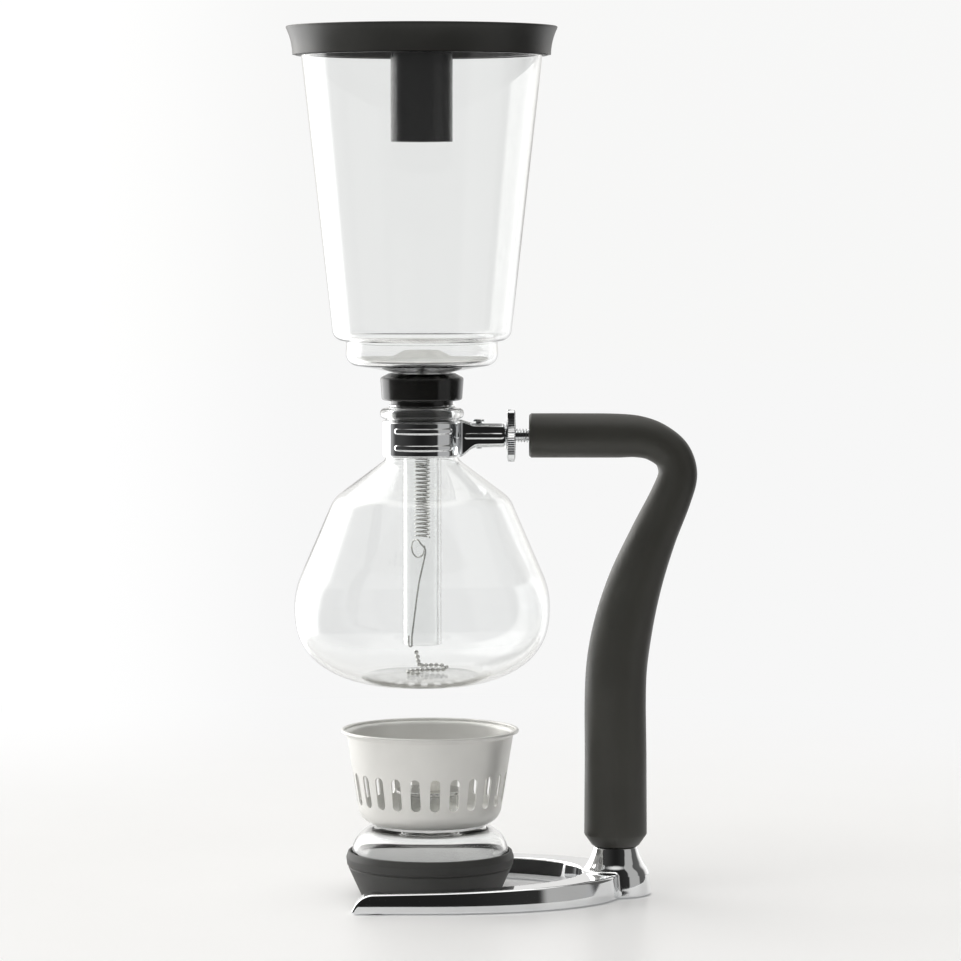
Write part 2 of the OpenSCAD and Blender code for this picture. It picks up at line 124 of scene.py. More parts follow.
def smooth(points, steps):
    """Smooth curve through the points, with this many steps from each one to the next."""
    p = np.array(points, float)
    n = len(p)
    slope = []
    for i in range(n):
        a, b = max(i - 1, 0), min(i + 1, n - 1)
        slope.append((p[b] - p[a]) / (np.linalg.norm(p[b] - p[i]) + np.linalg.norm(p[i] - p[a])))
    out = []
    for i in range(n - 1):
        span = np.linalg.norm(p[i + 1] - p[i])
        for k in range(steps):
            t = k / steps
            out.append(p[i] * (2 * t**3 - 3 * t**2 + 1) + p[i + 1] * (3 * t**2 - 2 * t**3)
                       + slope[i] * span * (t**3 - 2 * t**2 + t) + slope[i + 1] * span * (t**3 - t**2))
    return np.array(out + [p[-1]])


def soft_step(x, a, b):
    """0 at a, 1 at b and smooth between them."""
    t = np.clip((x - a) / (b - a), 0, 1)
    return t * t * (3 - 2 * t)


# ---- Shapes: each is a pair of vertices and faces ----

def grid(rings, loop=False, caps=False):
    """Faces between rings of points. The last ring meets the first (loop), or both are filled (caps)."""
    rings = np.array(rings, float)
    n, m = rings.shape[:2]
    i = np.arange(n if loop else n - 1)[:, None]
    j = np.arange(m)[None, :]
    i2, j2 = (i + 1) % n, (j + 1) % m
    quads = np.stack([i * m + j, i * m + j2, i2 * m + j2, i2 * m + j], -1).reshape(-1, 4)
    faces = [tuple(int(v) for v in f) for f in quads]
    if caps:
        faces.append(tuple(range(m - 1, -1, -1)))
        faces.append(tuple((n - 1) * m + k for k in range(m)))
    return rings.reshape(-1, 3), faces


def eased(outline):
    """The closed outline with points close to the ends of its long sides, so that they shade flat."""
    long_side, margin = 1.2, 0.2
    o = [np.array(q[:2], float) for q in outline]
    out = []
    for a, b in zip(o, o[1:] + o[:1]):
        out.append(a)
        length = np.linalg.norm(b - a)
        if length > long_side:
            step = (b - a) / length * min(margin, length / 5)
            out += [a + step, b - step]
    return np.array(out)


def level_ring(r, z, a, x=0.0):
    """Points of radius r, a number or one for each angle, at height z about the upright axis at x."""
    return np.stack([x + r * np.cos(a), r * np.sin(a), np.full(len(a), float(z))], -1)


def lathe(outline, sides=160, at=(0.0, 0.0)):
    """Closed outline of (r, z) turned about the upright axis at the point at."""
    o = eased(outline)
    a = around(sides)
    rings = np.stack([o[:, :1] * np.cos(a) + at[0], o[:, :1] * np.sin(a) + at[1],
                      np.repeat(o[:, 1:2], sides, 1)], -1)
    return grid(rings, loop=True)


def turned_x(stations, radius, sides):
    """Closed outline about the clamp screw's axis: radius(i, angles) at x stations[i]."""
    a = around(sides)
    rings = []
    for i, x in enumerate(stations):
        r = radius(i, a) * np.ones(sides)
        rings.append(np.stack([np.full(sides, float(x)), r * np.cos(a), ARM_Z + r * np.sin(a)], -1))
    return grid(rings, loop=True)


def wire(path, r, sides):
    """Round wire of radius r along the path, with filled ends."""
    path = np.array(path, float)
    way = np.gradient(path, axis=0)
    way /= np.linalg.norm(way, axis=1)[:, None]
    across = np.array([1, 0.3, 0.2])
    a = around(sides)
    rings = []
    for p, w in zip(path, way):
        across = unit(across - w * (across @ w))
        third = np.cross(w, across)
        rings.append(p + r * (np.outer(np.cos(a), across) + np.outer(np.sin(a), third)))
    return grid(rings, caps=True)


def ball(centre, r, sides):
    a = around(sides)
    latitudes = np.linspace(-math.pi / 2, math.pi / 2, sides // 2 + 1)
    return grid([level_ring(r * math.cos(t), r * math.sin(t), a) + centre for t in latitudes])


def volume(verts, faces):
    """Six times the volume inside the faces, negative when they face inwards."""
    fans = np.array([(f[0], f[k], f[k + 1]) for f in faces for k in range(1, len(f) - 1)])
    a, b, c = verts[fans[:, 0]], verts[fans[:, 1]], verts[fans[:, 2]]
    return (a * np.cross(b, c)).sum()


def build(name, shapes, sharp=38, axis=BOWL):
    """One mesh object of several closed shapes, each with its faces outwards, placed from the axis.

    Edges that turn by more than sharp degrees stay crisp.
    """
    verts, faces, base = [], [], 0
    for v, f in shapes:
        if volume(v, f) < 0:
            f = [q[::-1] for q in f]
        verts.append(v)
        faces += [tuple(i + base for i in q) for q in f]
        base += len(v)
    verts = np.concatenate(verts)
    mesh = bpy.data.meshes.new(name)
    mesh.from_pydata(((verts + [axis, 0, 0]) * MM).tolist(), [], faces)
    bm = bmesh.new()
    bm.from_mesh(mesh)
    same_point = 2e-7
    bmesh.ops.remove_doubles(bm, verts=bm.verts, dist=same_point)
    bm.to_mesh(mesh)
    bm.free()
    mesh.shade_smooth()
    mesh.set_sharp_from_angle(angle=math.radians(sharp))
    obj = bpy.data.objects.new(name, mesh)
    bpy.context.scene.collection.objects.link(obj)
    return obj


def put(obj, body, look, nodes, bend=None):
    """Gives a piece its material and body in place of its CAD nodes. With a bend, whose bodies and points are
    not read, the piece keeps its place with its transform baked in and gets no body.
    """
    obj.data.materials.clear()
    obj.data.materials.append(look)
    if bend:
        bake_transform(obj)
    else:
        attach(obj, body)
    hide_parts(*nodes)
    return obj


# ---- Node trees ----

class Tree:
    """A material's or the world's nodes, where each method adds one and returns its output."""

    def __init__(self, tree):
        self.tree = tree
        tree.nodes.clear()

    def add(self, kind, inputs=None, out=0, **props):
        node = self.tree.nodes.new(kind)
        for key, value in props.items():
            setattr(node, key, value)
        for key, value in (inputs or {}).items():
            self.set(node.inputs[key], value)
        return node.outputs[out]

    def set(self, socket, value):
        if isinstance(value, bpy.types.NodeSocket):
            self.tree.links.new(value, socket)
        else:
            socket.default_value = value

    def math(self, what, a, b=0.0, c=0.0):
        return self.add("ShaderNodeMath", {0: a, 1: b, 2: c}, operation=what)

    def xyz(self, vector):
        return self.outputs("ShaderNodeSeparateXYZ", {0: vector})

    def outputs(self, kind, inputs=None):
        """All the outputs of a new node."""
        return self.add(kind, inputs).node.outputs

    def blend(self, factor, a, b):
        """a where the factor is 0 and b where it is 1, for plain values."""
        return self.math("ADD", self.math("MULTIPLY", a, self.math("SUBTRACT", 1.0, factor)),
                         self.math("MULTIPLY", b, factor))

    def between(self, value, a, b, low=0.0, high=1.0):
        """value from a to b becomes low to high, smoothly."""
        return self.add("ShaderNodeMapRange", {"Value": value, "From Min": a, "From Max": b,
                        "To Min": low, "To Max": high}, interpolation_type="SMOOTHSTEP")

    def mix(self, factor, a, b):
        node = self.tree.nodes.new("ShaderNodeMix")
        node.data_type = "RGBA"
        self.set(node.inputs[0], factor)
        self.set(node.inputs[6], a)
        self.set(node.inputs[7], b)
        return node.outputs[2]

    def ramp(self, factor, stops):
        """Grey by factor, eased through the stops of (place, brightness)."""
        node = self.tree.nodes.new("ShaderNodeValToRGB")
        self.set(node.inputs[0], factor)
        band = node.color_ramp
        band.interpolation = "EASE"
        while len(band.elements) > 1:
            band.elements.remove(band.elements[-1])
        for k, (place, value) in enumerate(stops):
            e = band.elements[0] if k == 0 else band.elements.new(place)
            e.position = place
            e.color = (value, value, value, 1)
        return node.outputs[0]

    def finish(self, kind, shader):
        """The tree's output node, showing the shader."""
        end = self.tree.nodes.new(kind)
        self.tree.links.new(shader, end.inputs["Surface"])
        return end


def grey(value):
    return (value, value, value, 1)


OBJECT_PLACE = 3                       # output of the texture coordinate node
CLEAR_TINT = (0.985, 0.99, 0.988)


def new_material(name):
    m = bpy.data.materials.new(name)
    m.use_nodes = True
    return m, Tree(m.node_tree)


def principled(name, colour, rough, metal=0.0, vary=0.06, spots=45.0, rough_vary=0.04,
               grain=0.0, grain_scale=900.0, **sockets):
    """Material whose colour, roughness and surface vary a little over the object.

    Returns the material, its tree and its output node.
    """
    m, t = new_material(name)
    place = t.add("ShaderNodeTexCoord", out=OBJECT_PLACE)
    wide = t.add("ShaderNodeTexNoise", {"Vector": place, "Scale": spots, "Detail": 3.0})
    tone = t.mix(t.between(wide, 0.3, 0.7), (*[c * (1 - vary) for c in colour], 1),
                 (*[c * (1 + vary) for c in colour], 1))
    roughness = t.between(wide, 0.25, 0.75, max(rough - rough_vary, 0), rough + rough_vary)
    inputs = {"Base Color": tone, "Roughness": roughness, "Metallic": metal}
    if grain:
        close = t.add("ShaderNodeTexNoise", {"Vector": place, "Scale": grain_scale, "Detail": 2.0})
        inputs["Normal"] = t.add("ShaderNodeBump", {"Strength": grain, "Distance": 0.0002, "Height": close})
    inputs.update({k.replace("_", " "): v for k, v in sockets.items()})
    return m, t, t.finish("ShaderNodeOutputMaterial", t.add("ShaderNodeBsdfPrincipled", inputs))


def material(*values, **named):
    """As principled, and returns the material alone."""
    return principled(*values, **named)[0]


def glass(name, density, wave=0.02, tube_top=0.0):
    """Clear glass, a little wavy, with painted shade: its colour turns nearly black where it is seen edge on.

    Below tube_top, in metres, the glass is a narrow tube, whose sides get this painted shade sooner.
    """
    m, t, end = principled(name, CLEAR_TINT, 0.0, vary=0.004, rough_vary=0.0,
                           Transmission_Weight=1.0, IOR=1.47, Specular_IOR_Level=0.33)
    place = t.add("ShaderNodeTexCoord", out=OBJECT_PLACE)
    noise = t.add("ShaderNodeTexNoise", {"Vector": place, "Scale": 28.0, "Detail": 1.0})
    bump = t.add("ShaderNodeBump", {"Strength": wave, "Distance": 0.001, "Height": noise})
    shader = next(n for n in t.tree.nodes if n.bl_idname == "ShaderNodeBsdfPrincipled")
    t.tree.links.new(bump, shader.inputs["Normal"])
    # Painted shade: the colour is mixed towards nearly black as the surface turns edge on, sooner on the tube
    away = t.outputs("ShaderNodeLayerWeight", {"Blend": 0.5})["Facing"]
    narrow = t.math("LESS_THAN", t.xyz(place)[2], tube_top)
    edge = t.math("ADD", t.between(away, 0.75, 0.97, 0.0, 0.55),
                  t.math("MULTIPLY", narrow, t.between(away, 0.45, 0.8, 0.0, 0.45)))
    tone = t.mix(edge, (*CLEAR_TINT, 1), grey(0.02))
    t.tree.links.new(tone, shader.inputs["Base Color"])
    dim = t.add("ShaderNodeVolumeAbsorption", {"Color": (0.6, 0.61, 0.6, 1), "Density": density})
    t.tree.links.new(dim, end.inputs["Volume"])
    return m


chrome = material("chrome", (0.84, 0.85, 0.86), 0.03, 1.0, vary=0.02, rough_vary=0.015)
chrome_fine = material("chrome_small", (0.8, 0.81, 0.82), 0.08, 1.0, vary=0.03, rough_vary=0.03)
steel = material("bright_steel", (0.62, 0.62, 0.61), 0.2, 1.0, vary=0.08, rough_vary=0.08, spots=160.0,
                 grain=0.15, grain_scale=700.0)
wire_steel = material("wire_steel", (0.62, 0.62, 0.6), 0.14, 1.0, vary=0.1, rough_vary=0.06, spots=300.0)
grip_soft = material("grip_soft", (0.042, 0.041, 0.035), 0.46, vary=0.08, spots=30.0, rough_vary=0.05,
                     grain=0.12, grain_scale=1500.0, Specular_IOR_Level=0.45)
lid_plastic = material("lid_plastic", (0.032, 0.032, 0.029), 0.38, vary=0.08, grain=0.1,
                       grain_scale=1800.0)
socket_gloss = material("lid_socket", (0.005, 0.005, 0.005), 0.24, vary=0.1, grain=0.04)
stopper_rubber = material("stopper_rubber", (0.012, 0.012, 0.011), 0.17, vary=0.12, rough_vary=0.05,
                          grain=0.05, grain_scale=500.0)
burner_rubber = material("burner_rubber", (0.045, 0.045, 0.043), 0.55, vary=0.1, grain=0.12,
                         grain_scale=1600.0)
pad_rubber = material("pad_rubber", (0.05, 0.05, 0.05), 0.6, vary=0.1, grain=0.15)
liner_soft = material("liner", (0.75, 0.75, 0.73), 0.35, vary=0.03, Subsurface_Weight=0.3)
guard_metal = material("guard_metal", (0.74, 0.735, 0.71), 0.36, 0.3, vary=0.03, rough_vary=0.04,
                       grain=0.1, grain_scale=2200.0)
cloth = material("flannel", (0.9, 0.89, 0.85), 0.95, vary=0.06, spots=200.0, grain=0.9,
                 grain_scale=1300.0, Sheen_Weight=0.4)
cotton = material("cotton", (0.85, 0.84, 0.8), 0.9, vary=0.08, spots=400.0, grain=0.8,
                  grain_scale=1500.0, Sheen_Weight=0.3)
clear = glass("clear_glass", 24.0)
bowl_clear = glass("bowl_glass", 22.0, tube_top=TUBE_TOP * MM)
thick_clear = glass("burner_glass", 12.0, wave=0.06)


# ---- Base casting: a distance field of the whole casting, met by a fine mesh ----

def round_and(a, b, r):
    """Field of what is inside both a and b, with the edge between them rounded by r."""
    return np.minimum(-r, np.maximum(a, b)) + np.hypot(np.maximum(r + a, 0), np.maximum(r + b, 0))


def round_or(a, b, r):
    """Field of what is inside a or b, with the corner between them filled by r."""
    return np.maximum(r, np.minimum(a, b)) - np.hypot(np.maximum(r - a, 0), np.maximum(r - b, 0))


def oval_field(x, y, reach, half):
    """Distance to the squarish outline with straight sides behind x = 0, nearly."""
    p = 2.2
    u, v = np.maximum(x, 0) / reach, np.abs(y) / half
    s = np.maximum(u**p + v**p, 1e-9)
    g = s ** (1 / p)
    k = s ** (1 / p - 1)
    return (g - 1) / np.maximum(np.hypot(k * u ** (p - 1) / reach, k * v ** (p - 1) / half), 1e-6)


PAD_SPOTS = ((-20, 52.4), (77, 20))    # each has its mirror image across the object
PAD_R = 4.0
SOLE = 0.6                             # height of the casting's underside on its pads
BOSS_TOP = 22.1

# Outline of the boss: a low foot, a step, and a throat that narrows up to the grip
BELL = np.concatenate([
    smooth([[16.25, 0.6], [16.05, 3.0], [15.75, 6.5], [15.3, 9.9]], 8),
    smooth([[15.25, 10.0], [14.25, 12.4], [12.5, 15.1], [10.9, 18.3], [10.15, 20.6], [9.75, 22.2]], 12)])


def base_field(p):
    """Distance to the surface of the casting, nearly, at the points p."""
    x, y, z = p.T
    upright, bend, wall_lean = 2.5, 2.0, 0.11
    u = np.clip((z - upright) / bend, 0, 1)
    lean = wall_lean * (bend * (u**3 - u**4 / 2) + np.maximum(z - upright - bend, 0))
    walls = round_and(oval_field(x, y, 91, 58.5) + lean, lean - oval_field(x, y, 72, 46.5), 0.5)
    tip_height, rise, tip_x, back_x = 9, 2.2, -26.5, 77.5
    top = z - (tip_height + rise * (np.minimum(x, back_x) - tip_x) / (back_x - tip_x))
    slant_x, slant_z = -0.8815, 0.4722  # which way the cut ends of the horseshoe face
    nose = slant_x * (x + 31) + slant_z * (z - SOLE)
    plate = round_and(walls, round_and(top, nose, 5), 1.2)
    r = np.hypot(x - POLE, y)
    steepness = 0.95                    # keeps the boss's field close to a true distance
    bell = (r - np.interp(z, BELL[:, 1], BELL[:, 0])) * steepness
    bell = round_and(bell, z - BOSS_TOP, 0.7)
    both = round_and(round_or(plate, bell, 1.1), SOLE - z, 0.5)
    pole_socket = np.maximum(r - 4.1, 6.4 - z)
    bolt_hole = r - 2.7
    bolt_recess = np.maximum(r - 7.2, z - 5)
    cuts = [pole_socket, bolt_hole, bolt_recess]
    for pad_x, pad_y in PAD_SPOTS:
        cuts.append(np.maximum(np.hypot(x - pad_x, np.abs(y) - pad_y) - (PAD_R + 0.1), z - 1.1))
    for cut in cuts:
        both = round_and(both, -cut, 0.2)
    return both


def slopes(field, p, h=0.01):
    """Gradient of the field at the points, from steps of h."""
    g = np.empty_like(p)
    for k in range(3):
        d = np.zeros(3)
        d[k] = h
        g[:, k] = (field(p + d) - field(p - d)) / (2 * h)
    return g


def make_base():
    """The CAD base as an even fine mesh, whose points then move onto the field's surface."""
    rough = bpy.data.objects.new("rough_base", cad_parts["base"].data.copy())
    bpy.context.scene.collection.objects.link(rough)
    mod = rough.modifiers.new("even", "REMESH")
    mod.mode = "VOXEL"
    mod.voxel_size = 0.00062
    bpy.context.view_layer.update()
    mesh = bpy.data.meshes.new_from_object(rough.evaluated_get(bpy.context.evaluated_depsgraph_get()))
    bpy.data.objects.remove(rough)
    n = len(mesh.vertices)
    co = np.empty(n * 3)
    mesh.vertices.foreach_get("co", co)
    p = co.reshape(-1, 3) / MM - [BOWL, 0, 0]
    longest = 0.6
    for _ in range(10):
        g = slopes(base_field, p)
        step = base_field(p) / np.maximum((g * g).sum(1), 0.2)
        p = p - np.clip(step, -longest, longest)[:, None] * g
    normal = slopes(base_field, p, 0.03)
    normal /= np.maximum(np.linalg.norm(normal, axis=1), 1e-6)[:, None]
    mesh.vertices.foreach_set("co", ((p + [BOWL, 0, 0]) * MM).ravel())
    mesh.update()
    mesh.shade_smooth()
    mesh.normals_split_custom_set_from_vertices(normal.tolist())
    mesh.name = "base_casting"
    obj = bpy.data.objects.new("base_casting", mesh)
    bpy.context.scene.collection.objects.link(obj)
    return obj


put(make_base(), "stand", chrome, ["base"])

pads = [lathe(rounded([[0, 0], [PAD_R, 0, 0.3], [PAD_R, 1.1], [0, 1.1]]), 48, (x, side * y))
        for x, y in PAD_SPOTS for side in (1, -1)]
put(build("pads", pads), "stand", pad_rubber, ["base_pads"])

put(build("foot_washer", [lathe(rounded([[2.65, 3.95, 0.15], [6.5, 3.95, 0.2], [6.5, 4.95, 0.2],
                                         [2.65, 4.95, 0.15]]), 64, (POLE, 0))]),
    "stand", steel, ["pole_washer"])


def hex_profile(sides):
    """Radius of a hexagon round the unit circle at each angle."""
    return 1 / np.cos((around(sides) + math.pi / 6) % (math.pi / 3) - math.pi / 6)


def make_bolt():
    """Round-headed bolt that goes up into the pole, with a six-sided hole in its head."""
    sides = 48
    a = around(sides)
    hole = [(0, 2.9), (1.9, 2.9), (1.9, 1.3)]
    body = [(2.4, 1.3), (4.1, 1.3), (4.3, 1.55), (4.3, 3.7), (4.1, 3.9), (2.35, 3.9), (2.35, 17.0),
            (2.0, 17.3), (0, 17.3)]
    rings = [level_ring(r * hex_profile(sides), z, a, POLE) for r, z in hole]
    rings += [level_ring(r, z, a, POLE) for r, z in body]
    return build("foot_bolt", [grid(rings, loop=True)], 30)


put(make_bolt(), "stand", steel, ["pole_bolt"])


# ---- Grip and the tube in it ----

# Middle line of the arm and the grip as (x, z, the grip's radius), from the clamp to the foot
SPINE = [
    [48.2, ARM_Z, 9.2], [49.2, ARM_Z, 10], [70, ARM_Z, 10], [88, 208.1, 9.9],
    [97, 207.7, 9.4], [105, 205.4, 8.8], [112.6, 199.6, 8.5], [115.2, 191, 8.8], [112.4, 181.2, 9.3],
    [104, 162.3, 10.5], [95.6, 140.2, 12.3], [90, 118, 13.5], [POLE, 98, 13.8],
    [POLE, 60, 14], [POLE, 27.8, 14.2], [POLE, 22.4, 10.4]]


def tube_rings(path, radii, sides):
    """Rings square to a path of (x, z) points."""
    way = np.gradient(path, axis=0)
    way /= np.linalg.norm(way, axis=1)[:, None]
    a = around(sides)
    return [np.stack([p[0] - w[1] * r * np.cos(a), -r * np.sin(a), p[1] + w[0] * r * np.cos(a)], -1)
            for p, w, r in zip(path, way, radii)]


CORE_R, CORE_BORE = 4.0, 2.5       # outer and inner radius of the steel tube in the grip


def make_grip():
    """Soft grip: the spine with small rounds at both ends, and a hole for the steel tube."""
    body = smooth(SPINE[1:-1], 14)
    near = [[48.2, ARM_Z, 9.05], [48.26, ARM_Z, 9.2]]
    far = [[POLE, 27.2, 13.95], [POLE, 22.7, 10.75], [POLE, 22.4, 10.3]]
    path = np.array(near + body.tolist() + far)
    outside = tube_rings(path[:, :2], path[:, 2], 96)
    inside = tube_rings(path[:, :2], np.full(len(path), CORE_R + 0.2), 96)
    return build("grip", [grid(outside + inside[::-1], loop=True)], 30)


put(make_grip(), "stand", grip_soft, ["grip"])


def make_core():
    """Steel tube from the clamp screw's tail, along the spine, down into the boss."""
    line = smooth(SPINE, 10)
    line = [q for q in line if q[0] > 51.2 and q[1] > 24]
    path = np.array([[50.0, ARM_Z]] + [[q[0], q[1]] for q in line] + [[POLE, 6.5]])
    n = len(path)
    outside = tube_rings(path, np.full(n, CORE_R), 32)
    inside = tube_rings(path, np.full(n, CORE_BORE), 32)
    return build("pole_tube", [grid(outside + inside[::-1], loop=True)], 30)


put(make_core(), "stand", steel, ["pole_core"])


# ---- Clamp ----

BAND_R, BAND_HALF = 17.5, 0.5      # middle radius of the clamp band and half its thickness
EAR_Y, EAR_END = 3.85, 37.4        # each ear's distance from the middle, and its end
RIBS = ((-11.7, 13.3, 203.3, 0.5), (-11.7, 13.3, 210.8, 0.5))    # start, end, height and rise
EAR_RIB = (19, 37.0, ARM_Z, 0.38)


def on_circle(degrees):
    return np.array([math.cos(math.radians(degrees)), math.sin(math.radians(degrees))])


def band_plan():
    """Middle line of the band seen from above: an ear, a fillet, the ring and the other ear."""
    fillet, fillet_r = np.array([18.97, 6.35]), 2.5
    start = math.degrees(math.atan2(fillet[1], fillet[0]))
    half = [np.array([x, EAR_Y]) for x in np.arange(EAR_END, fillet[0], -0.4)]
    half += [fillet + fillet_r * on_circle(a) for a in np.linspace(-90, -180 + start, 14)]
    half += [BAND_R * on_circle(a) for a in np.arange(start + 1.2, 180, 1.2)]
    return np.array(half + [np.array([-BAND_R, 0.0])] + [q * [1, -1] for q in half[::-1]])


def rib_rise(x, z):
    """How far the pressed ribs push the band's wall out at x, for each height z."""
    rise = np.zeros_like(z)
    for start, end, height, most in RIBS + ((EAR_RIB,) if x >= 17 else ()):
        past_end = max(start + 1.3 - x, x - (end - 1.3), 0)
        distance = np.hypot(past_end, z - height)
        rise = np.maximum(rise, most * soft_step(distance, 1.45, 0.75))
    return rise


def make_band():
    """Sheet metal band round the flask's neck, with pressed ribs and rolled edges."""
    plan = band_plan()
    way = np.gradient(plan, axis=0)
    way /= np.linalg.norm(way, axis=1)[:, None]
    outwards = np.stack([way[:, 1], -way[:, 0]], 1)
    outline = rounded([[-19, 198.8], [18, 198.8, 1.5], [23, 202.9, 6], [EAR_END, 203.1, 1.2],
                       [EAR_END, 213.5, 1.2], [23, 213.6, 6], [18, 215.1, 1.5], [-19, 215.1]], 4)
    lower = np.array([q for q in outline if q[1] < 208])
    upper = np.array([q for q in outline if q[1] > 208])[::-1]
    arc = np.radians(np.arange(15, 180, 15))
    half = BAND_HALF
    rings = []
    for q, out in zip(plan, outwards):
        x = min(q[0], EAR_END - 0.01)
        low_z = np.interp(x, lower[:, 0], lower[:, 1]) + half
        high_z = np.interp(x, upper[:, 0], upper[:, 1]) - half
        z = np.linspace(low_z, high_z, 56)
        rise = rib_rise(q[0], z)
        roll = 0.55 + 0.95 * soft_step(x, 20.5, 25.5)
        edge = np.clip(roll - np.minimum(z - low_z, high_z - z), 0, roll) / roll
        curl = roll * (1 - np.sqrt(1 - 0.92 * edge**2))
        wall_line = [(half + h - c, w) for h, w, c in zip(rise, z, curl)]
        wall_line += [(half * math.cos(t) - curl[-1], high_z + half * math.sin(t)) for t in arc]
        wall_line += [(-half - c, w) for w, c in zip(z[::-1], curl[::-1])]
        wall_line += [(-half * math.cos(t) - curl[0], low_z - half * math.sin(t)) for t in arc]
        rings.append([[q[0] + out[0] * d, q[1] + out[1] * d, w] for d, w in wall_line])
    return build("clamp_band", [grid(rings, caps=True)], 42)


put(make_band(), "stand", chrome, ["clamp_band"])


def make_liner():
    """Silicone strip between the band and the glass, open towards the ears."""
    a = np.radians(np.linspace(13, 347, 120))
    rings = [[[r * math.cos(t), r * math.sin(t), z] for r, z in
              ((16.25, 200.2), (16.95, 200.2), (16.95, 214.6), (16.25, 214.6))] for t in a]
    return build("clamp_liner", [grid(rings, caps=True)], 40)


put(make_liner(), "stand", liner_soft, ["clamp_liner"])

PITCH, THREAD_R, ROOT_R = 1.27, 3.175, 2.75    # of the clamp screw; ROOT_R is where the thread fades out


def make_screw():
    """Plain nose between the ears, a helical thread, a collar against the grip and a tail in it."""
    nose = [(21.7, 0.0), (21.7, 2.8), (21.9, 3.0), (31.0, 3.0)]
    thread = [(x, None) for x in np.arange(31.05, 48.6, 0.1)]
    tail = [(48.6, 2.7), (48.62, 4.1), (49.9, 4.1), (49.92, 2.4), (61.6, 2.4), (61.6, 0.0)]
    stations = nose + thread + tail

    def radius(i, a):
        x, plain = stations[i]
        if plain is not None:
            return plain
        phase = (x / PITCH - a / TAU) % 1
        deep = 0.7 * np.clip((np.abs(phase - 0.5) - 0.07) / 0.43, 0, 1)
        ends = soft_step(x, 31.0, 32.2) * soft_step(x, 48.6, 47.8)
        return ROOT_R + (THREAD_R - deep - ROOT_R) * ends

    return build("clamp_screw", [turned_x([x for x, _ in stations], radius, 64)], 50)


put(make_screw(), "stand", chrome_fine, ["clamp_screw"])

put(build("clamp_pin", [lathe(rounded([[0, 202.3], [1.5, 202.3, 0.4], [1.5, 214.6], [2.7, 214.6, 0.2],
                                       [2.7, 215.6, 0.7], [0, 215.75]]), 48, (25.7, 0))]),
    "stand", chrome_fine, ["clamp_pin"])

washer = [(3.4, 37.6), (6.3, 37.6), (6.5, 37.75), (6.5, 37.95), (6.3, 38.1), (3.4, 38.1)]
put(build("clamp_washer", [turned_x([q[1] for q in washer], lambda i, a: washer[i][0], 64)]),
    "washer", chrome_fine, ["clamp_washer"])


def make_nut():
    """Disc-like nut whose rim is cut by small knurls along the screw's axis."""
    knurls, knurl_depth, knurled_from = 80, 0.3, 11.3
    profile = [(3.3, 38.75), (3.75, 38.2), (8.0, 38.2), (10.8, 38.2), (11.15, 38.28), (11.6, 38.55),
               (11.8, 38.8), (11.8, 41.5), (11.6, 41.75), (11.15, 42.02), (10.8, 42.1),
               (8.0, 42.1), (3.75, 42.1), (3.3, 41.55)]

    def radius(i, a):
        r = profile[i][0]
        groove = 1 - 2 * np.abs(a * knurls / TAU % 1 - 0.5)
        return r - (knurl_depth * groove if r > knurled_from else 0)

    return build("thumb_nut", [turned_x([q[1] for q in profile], radius, knurls * 8)], 24)


put(make_nut(), "nut", chrome_fine, ["thumb_nut"])


# ---- Glassware ----

BELLY_Z, BELLY_R = 131, 57.7       # height and radius where the flask is widest
FLASK_FLOOR = 97.3                 # underside of the flask at its axis
FLASK_WALL, NECK_BORE = 1.8, 14.4
BOWL_WALL, TUBE_R = 1.5, 8.75
RIM_Z, TIP_Z = 387.1, 114          # the upper bowl's rim and the lower end of its tube
LID_FOOT, LID_CEILING, LID_TOP = 378.5, 387.4, 391.5
SOCKET_FOOT = 340.0


def make_flask():
    """Flask: a lipped neck, a straight shoulder, a round belly and a squarer lower part."""
    shoulder_r, lean = 36, math.radians(23.5)
    belly = [[BELLY_R - shoulder_r + shoulder_r * math.cos(a), BELLY_Z + shoulder_r * math.sin(a)]
             for a in lean * np.linspace(1, 0.03, 16)]
    neck = rounded([[15.2, 225], [NECK_BORE, 220.5, 1.4], [18.85, 220.5, 2.1], [18.85, 216, 1.7],
                    [16.4, 216, 0.9], [16.2, 213], [16.2, 197.6, 3.2], [39.7, 180, 12], belly[0]])[1:-1]
    depth, power, foot_r = 36.6, 2.5, 30.4
    low_part = []
    for t in np.linspace(90, 0, 90):
        x = BELLY_R * max(math.sin(math.radians(t)), 0) ** (2 / power)
        z = BELLY_Z - depth * max(math.cos(math.radians(t)), 0) ** (2 / power)
        if x > foot_r:
            low_part.append([x, z])
    middle = [0, FLASK_FLOOR]
    foot = rounded([middle, low_part[-1], [29.6, 97.4], [26, 96.5, 6], middle])[3:-1]
    outer = np.array([list(q) for q in neck] + belly + low_part + [list(q) for q in foot] + [middle])
    inner = beside(outer, -FLASK_WALL)
    below_lip = next(i for i, q in enumerate(outer) if q[1] < 213.5 and q[0] < 16.3)
    inner = inner[below_lip:]
    inner[:, 0] = np.where(inner[:, 1] > 199, NECK_BORE, inner[:, 0])
    return build("flask_glass", [lathe(np.concatenate([outer, inner[::-1]]), 192)], 60)


put(make_flask(), "stand", clear, ["flask"])


def make_bowl():
    """Upper bowl: a tapered glass with a stepped bottom, and its tube with a melted tip."""
    path = rounded([[55, 395], [55, RIM_Z], [40, 251.6, 5], [33.9, 250.6, 1.5], [34.7, 240.6, 5.5],
                    [TUBE_R, 236, 3], [TUBE_R, TIP_Z], [TUBE_R, 100]])[1:-1]
    outer = np.array(path)
    inner = beside(outer, -BOWL_WALL)
    outer[0] = [54.95, RIM_Z - 0.5]
    inner[0] = [53.55, RIM_Z - 0.5]
    rim = [[53.75, RIM_Z - 0.1], [54.25, RIM_Z + 0.1], [54.75, RIM_Z - 0.1]]
    tip = [[8.6, TIP_Z - 0.2], [8.0, TIP_Z - 0.4], [7.4, TIP_Z - 0.2]]
    outline = np.concatenate([outer, tip, inner[::-1], rim])
    return build("bowl_glass", [lathe(outline, 192)], 60)


